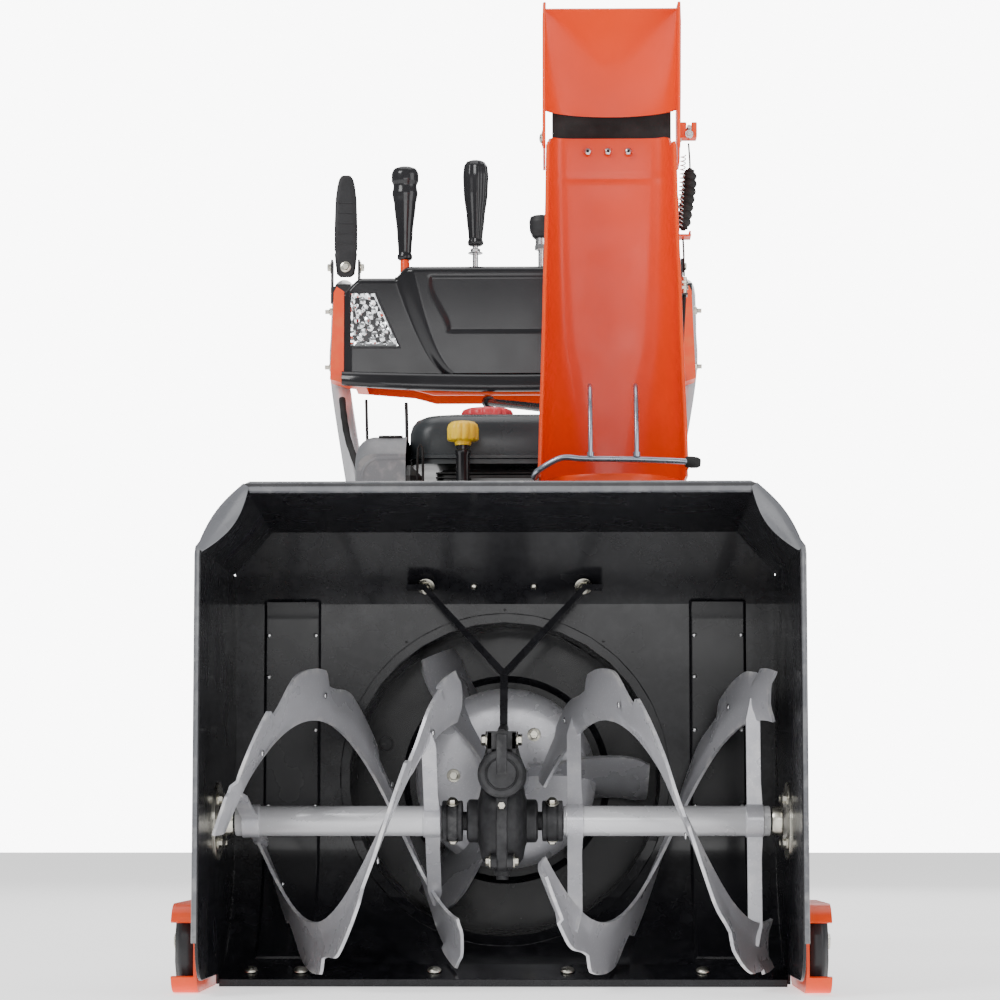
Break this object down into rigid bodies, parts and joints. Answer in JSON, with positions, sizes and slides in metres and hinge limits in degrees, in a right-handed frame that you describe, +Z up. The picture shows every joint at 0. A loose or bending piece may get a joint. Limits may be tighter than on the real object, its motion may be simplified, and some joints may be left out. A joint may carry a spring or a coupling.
{
  "type": "two-stage snowblower",
  "caption": "Walk-behind two-stage snow thrower with ribbon augers, impeller drum, turning chute with tilting deflector, engine, wheels and a control dash between two handlebars.",
  "frame": {"origin": "centre of the machine's bounding box at floor level", "axes": "+X to the right seen from the front, -Y towards the intake, +Y towards the operator, +Z up"},
  "size_m": [0.678, 1.44, 1.1339],
  "materials": {
    "black_paint": "glossy black enamel",
    "orange_paint": "glossy orange enamel",
    "silver_paint": "silver grey enamel",
    "zinc": "zinc plated",
    "steel": "bright steel",
    "cast": "black painted casting",
    "black_plastic": "fine grained",
    "gloss_plastic": "moulded, glossy",
    "rubber": "moulded",
    "tyre": "chevron tread",
    "tank": "satin moulded",
    "grey": "grey heat resistant",
    "yellow": "moulded",
    "pink_red": "moulded",
    "lens": "clear, faceted",
    "bronze": "machined",
    "engine": "black casting"
  },
  "bodies": {
    "machine": {"auger_housing": "black_paint", "bearing_flange_left": "zinc", "bearing_flange_right": "zinc", "belt_cover": "black_plastic", "carburetor_cover": "black_plastic", "control_cable": "rubber", "dash_console": "gloss_plastic", "dash_tray": "orange_paint", "dipstick_tube": "black_plastic", "drive_belt": "rubber", "engine_block": "engine", "fuel_tank": "tank", "gearbox_brace": "black_paint", "gearbox_case_left": "cast", "gearbox_case_right": "cast", "grip_left": "rubber", "grip_right": "rubber", "handlebar_left": "silver_paint", "handlebar_right": "silver_paint", "headlight_left": "lens", "headlight_right": "lens", "impeller_drum": "black_paint", "muffler": "engine", "muffler_guard": "grey", "recoil_cover": "black_plastic", "scraper_bar": "black_paint", "skid_shoe_left": "orange_paint", "skid_shoe_right": "orange_paint", "tractor_frame": "black_paint", "wiring_harness": "rubber"},
    "auger": {"auger_left": "silver_paint", "auger_right": "silver_paint", "auger_shaft": "cast", "worm_wheel": "bronze"},
    "impeller_rotor": {"impeller": "silver_paint", "impeller_shaft": "steel", "impeller_pulley": "steel"},
    "crankshaft": {"engine_pulley": "steel"},
    "wheels": {"axle": "steel", "rim_left": "silver_paint", "rim_right": "silver_paint", "tyre_left": "tyre", "tyre_right": "tyre"},
    "chute_turret": {"chute": "orange_paint", "chute_guard": "steel", "deflector_flap": "rubber", "deflector_cable_boot": "rubber"},
    "chute_deflector": {"deflector": "orange_paint"},
    "steering_rod": {"chute_rod": "black_paint"},
    "clutch_left": {"clutch_lever_left": "black_plastic"},
    "clutch_right": {"clutch_lever_right": "black_plastic"},
    "shifter": {"shift_lever": "gloss_plastic"},
    "chute_stick": {"chute_lever": "gloss_plastic"},
    "deflector_stick": {"deflector_lever": "gloss_plastic"},
    "fuel_filler_cap": {"fuel_cap": "pink_red"},
    "oil_dipstick": {"dipstick": "yellow"},
    "primer": {"primer_bulb": "rubber"},
    "choke": {"choke_knob": "black_plastic"},
    "throttle": {"throttle_lever": "black_plastic"},
    "run_key": {"stop_key": "pink_red"}
  },
  "joints": [
    {"name": "auger_spin", "type": "hinge", "parent": "machine", "child": "auger", "pos_m": [0, -0.555, 0.177], "axis": [1, 0, 0], "continuous": true},
    {"name": "impeller_spin", "type": "hinge", "parent": "machine", "child": "impeller_rotor", "pos_m": [0, -0.32, 0.226], "axis": [0, 1, 0], "continuous": true},
    {"name": "crank_spin", "type": "hinge", "parent": "machine", "child": "crankshaft", "pos_m": [0, -0.2, 0.506], "axis": [0, 1, 0], "continuous": true},
    {"name": "wheel_spin", "type": "hinge", "parent": "machine", "child": "wheels", "pos_m": [0, 0.04, 0.165], "axis": [1, 0, 0], "continuous": true},
    {"name": "chute_rotate", "type": "hinge", "parent": "machine", "child": "chute_turret", "pos_m": [0.123, -0.316, 0.52], "axis": [0, 0, 1], "range_deg": [-100, 100]},
    {"name": "deflector_tilt", "type": "hinge", "parent": "chute_turret", "child": "chute_deflector", "pos_m": [0.124, -0.258, 0.985], "axis": [1, 0, 0], "range_deg": [0, 60]},
    {"name": "chute_rod_spin", "type": "hinge", "parent": "machine", "child": "steering_rod", "pos_m": [0.0245, 0.08575, 0.71925], "axis": [0.2265, -0.9592, -0.1694], "range_deg": [-300, 300]},
    {"name": "clutch_lever_left_squeeze", "type": "hinge", "parent": "machine", "child": "clutch_left", "pos_m": [-0.244, 0.46, 0.98], "axis": [-1, 0, 0], "range_deg": [0, 62], "stiffness_Nm_per_rad": 0.4, "springref_deg": -28.65},
    {"name": "clutch_lever_right_squeeze", "type": "hinge", "parent": "machine", "child": "clutch_right", "pos_m": [0.224, 0.46, 0.98], "axis": [-1, 0, 0], "range_deg": [0, 62], "stiffness_Nm_per_rad": 0.4, "springref_deg": -28.65},
    {"name": "shift_lever_tilt", "type": "hinge", "parent": "machine", "child": "shifter", "pos_m": [-0.153, 0.36, 0.88], "axis": [1, 0, 0], "range_deg": [-15, 15]},
    {"name": "chute_lever_tilt", "type": "hinge", "parent": "machine", "child": "chute_stick", "pos_m": [-0.053, 0.36, 0.88], "axis": [0, 1, 0], "range_deg": [-11.5, 11.5]},
    {"name": "deflector_lever_tilt", "type": "hinge", "parent": "machine", "child": "deflector_stick", "pos_m": [0.04, 0.36, 0.88], "axis": [1, 0, 0], "range_deg": [0, 15.2]},
    {"name": "fuel_cap_turn", "type": "hinge", "parent": "machine", "child": "fuel_filler_cap", "pos_m": [-0.029, 0.032, 0.7], "axis": [0, 0, 1], "range_deg": [0, 120]},
    {"name": "dipstick_lift", "type": "slide", "parent": "machine", "child": "oil_dipstick", "axis": [0, 0, 1], "range_m": [0, 0.085]},
    {"name": "primer_press", "type": "slide", "parent": "machine", "child": "primer", "axis": [-1, 0, 0], "range_m": [0, 0.005], "stiffness_N_per_m": 400, "springref_m": -0.001},
    {"name": "choke_turn", "type": "hinge", "parent": "machine", "child": "choke", "pos_m": [0.196, -0.02, 0.575], "axis": [1, 0, 0], "range_deg": [0, 90]},
    {"name": "throttle_turn", "type": "hinge", "parent": "machine", "child": "throttle", "pos_m": [0.196, -0.09, 0.585], "axis": [1, 0, 0], "range_deg": [0, 50]},
    {"name": "stop_key_pull", "type": "slide", "parent": "machine", "child": "run_key", "axis": [0, 1, 0], "range_m": [0, 0.008]}
  ],
  "couplings": [
    {"joint": "auger_spin", "follows": "impeller_spin", "ratio": 0.1},
    {"joint": "crank_spin", "follows": "impeller_spin", "ratio": 2.3},
    {"joint": "chute_lever_tilt", "follows": "chute_rotate", "ratio": 0.1146},
    {"joint": "chute_rod_spin", "follows": "chute_rotate", "ratio": 3},
    {"joint": "deflector_lever_tilt", "follows": "deflector_tilt", "ratio": 0.25}
  ]
}
